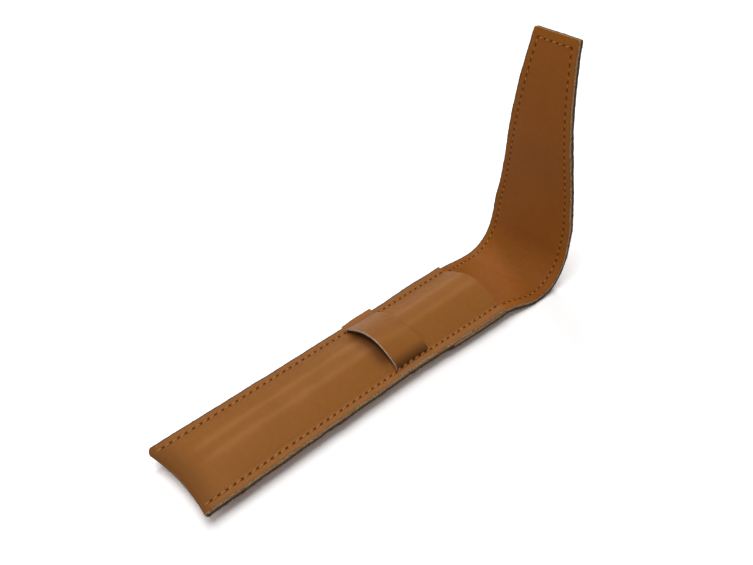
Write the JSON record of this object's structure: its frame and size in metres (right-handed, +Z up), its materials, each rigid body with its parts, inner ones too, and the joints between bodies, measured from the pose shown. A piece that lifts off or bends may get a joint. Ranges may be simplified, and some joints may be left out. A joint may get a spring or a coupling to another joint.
{
  "type": "pen sleeve",
  "caption": "Leather sleeve for a pen: a strip folded into a sewn pocket, with a lined flap that bends over the mouth and tucks under a keeper loop across the front.",
  "frame": {"origin": "the middle of the pocket's underside, on the surface that the sleeve lies on, halfway between the folded end and the mouth", "axes": "+X across the sleeve, +Y along it from the folded end to the flap, +Z up, out of the front panel"},
  "size_m": [0.04, 0.1885, 0.108],
  "materials": {
    "outer_leather": "smooth tan leather, satin",
    "lining_leather": "smooth tan leather, a little darker, satin",
    "loop_leather": "smooth tan leather with a raw cut edge, satin",
    "thread": "waxed thread"
  },
  "bodies": {
    "sleeve": {"outer_pocket": "outer_leather", "lining_base": "lining_leather", "keeper_loop": "loop_leather", "top_thread_pocket": "thread", "under_thread_pocket": "thread"},
    "bend_1": {"outer_bend_1": "outer_leather", "lining_bend_1": "lining_leather", "top_thread_bend_1": "thread", "under_thread_bend_1": "thread"},
    "bend_2": {"outer_bend_2": "outer_leather", "lining_bend_2": "lining_leather", "top_thread_bend_2": "thread", "under_thread_bend_2": "thread"},
    "bend_3": {"outer_bend_3": "outer_leather", "lining_bend_3": "lining_leather", "top_thread_bend_3": "thread", "under_thread_bend_3": "thread"},
    "flap": {"outer_flap": "outer_leather", "lining_flap": "lining_leather", "top_thread_flap": "thread", "under_thread_flap": "thread"}
  },
  "joints": [
    {"name": "flap_bend_1", "type": "hinge", "parent": "sleeve", "child": "bend_1", "pos_m": [0, 0.09718, 0.00192], "axis": [1, 0, 0], "range_deg": [-19, 20]},
    {"name": "flap_bend_2", "type": "hinge", "parent": "bend_1", "child": "bend_2", "pos_m": [0, 0.10261, 0.00384], "axis": [1, 0, 0], "range_deg": [-19, 20]},
    {"name": "flap_bend_3", "type": "hinge", "parent": "bend_2", "child": "bend_3", "pos_m": [0, 0.10708, 0.00747], "axis": [1, 0, 0], "range_deg": [-19, 20]},
    {"name": "flap_bend_4", "type": "hinge", "parent": "bend_3", "child": "flap", "pos_m": [0, 0.11009, 0.01238], "axis": [1, 0, 0], "range_deg": [-19, 20]}
  ],
  "couplings": [
    {"joint": "flap_bend_2", "follows": "flap_bend_1", "ratio": 1},
    {"joint": "flap_bend_3", "follows": "flap_bend_1", "ratio": 1},
    {"joint": "flap_bend_4", "follows": "flap_bend_1", "ratio": 1}
  ]
}
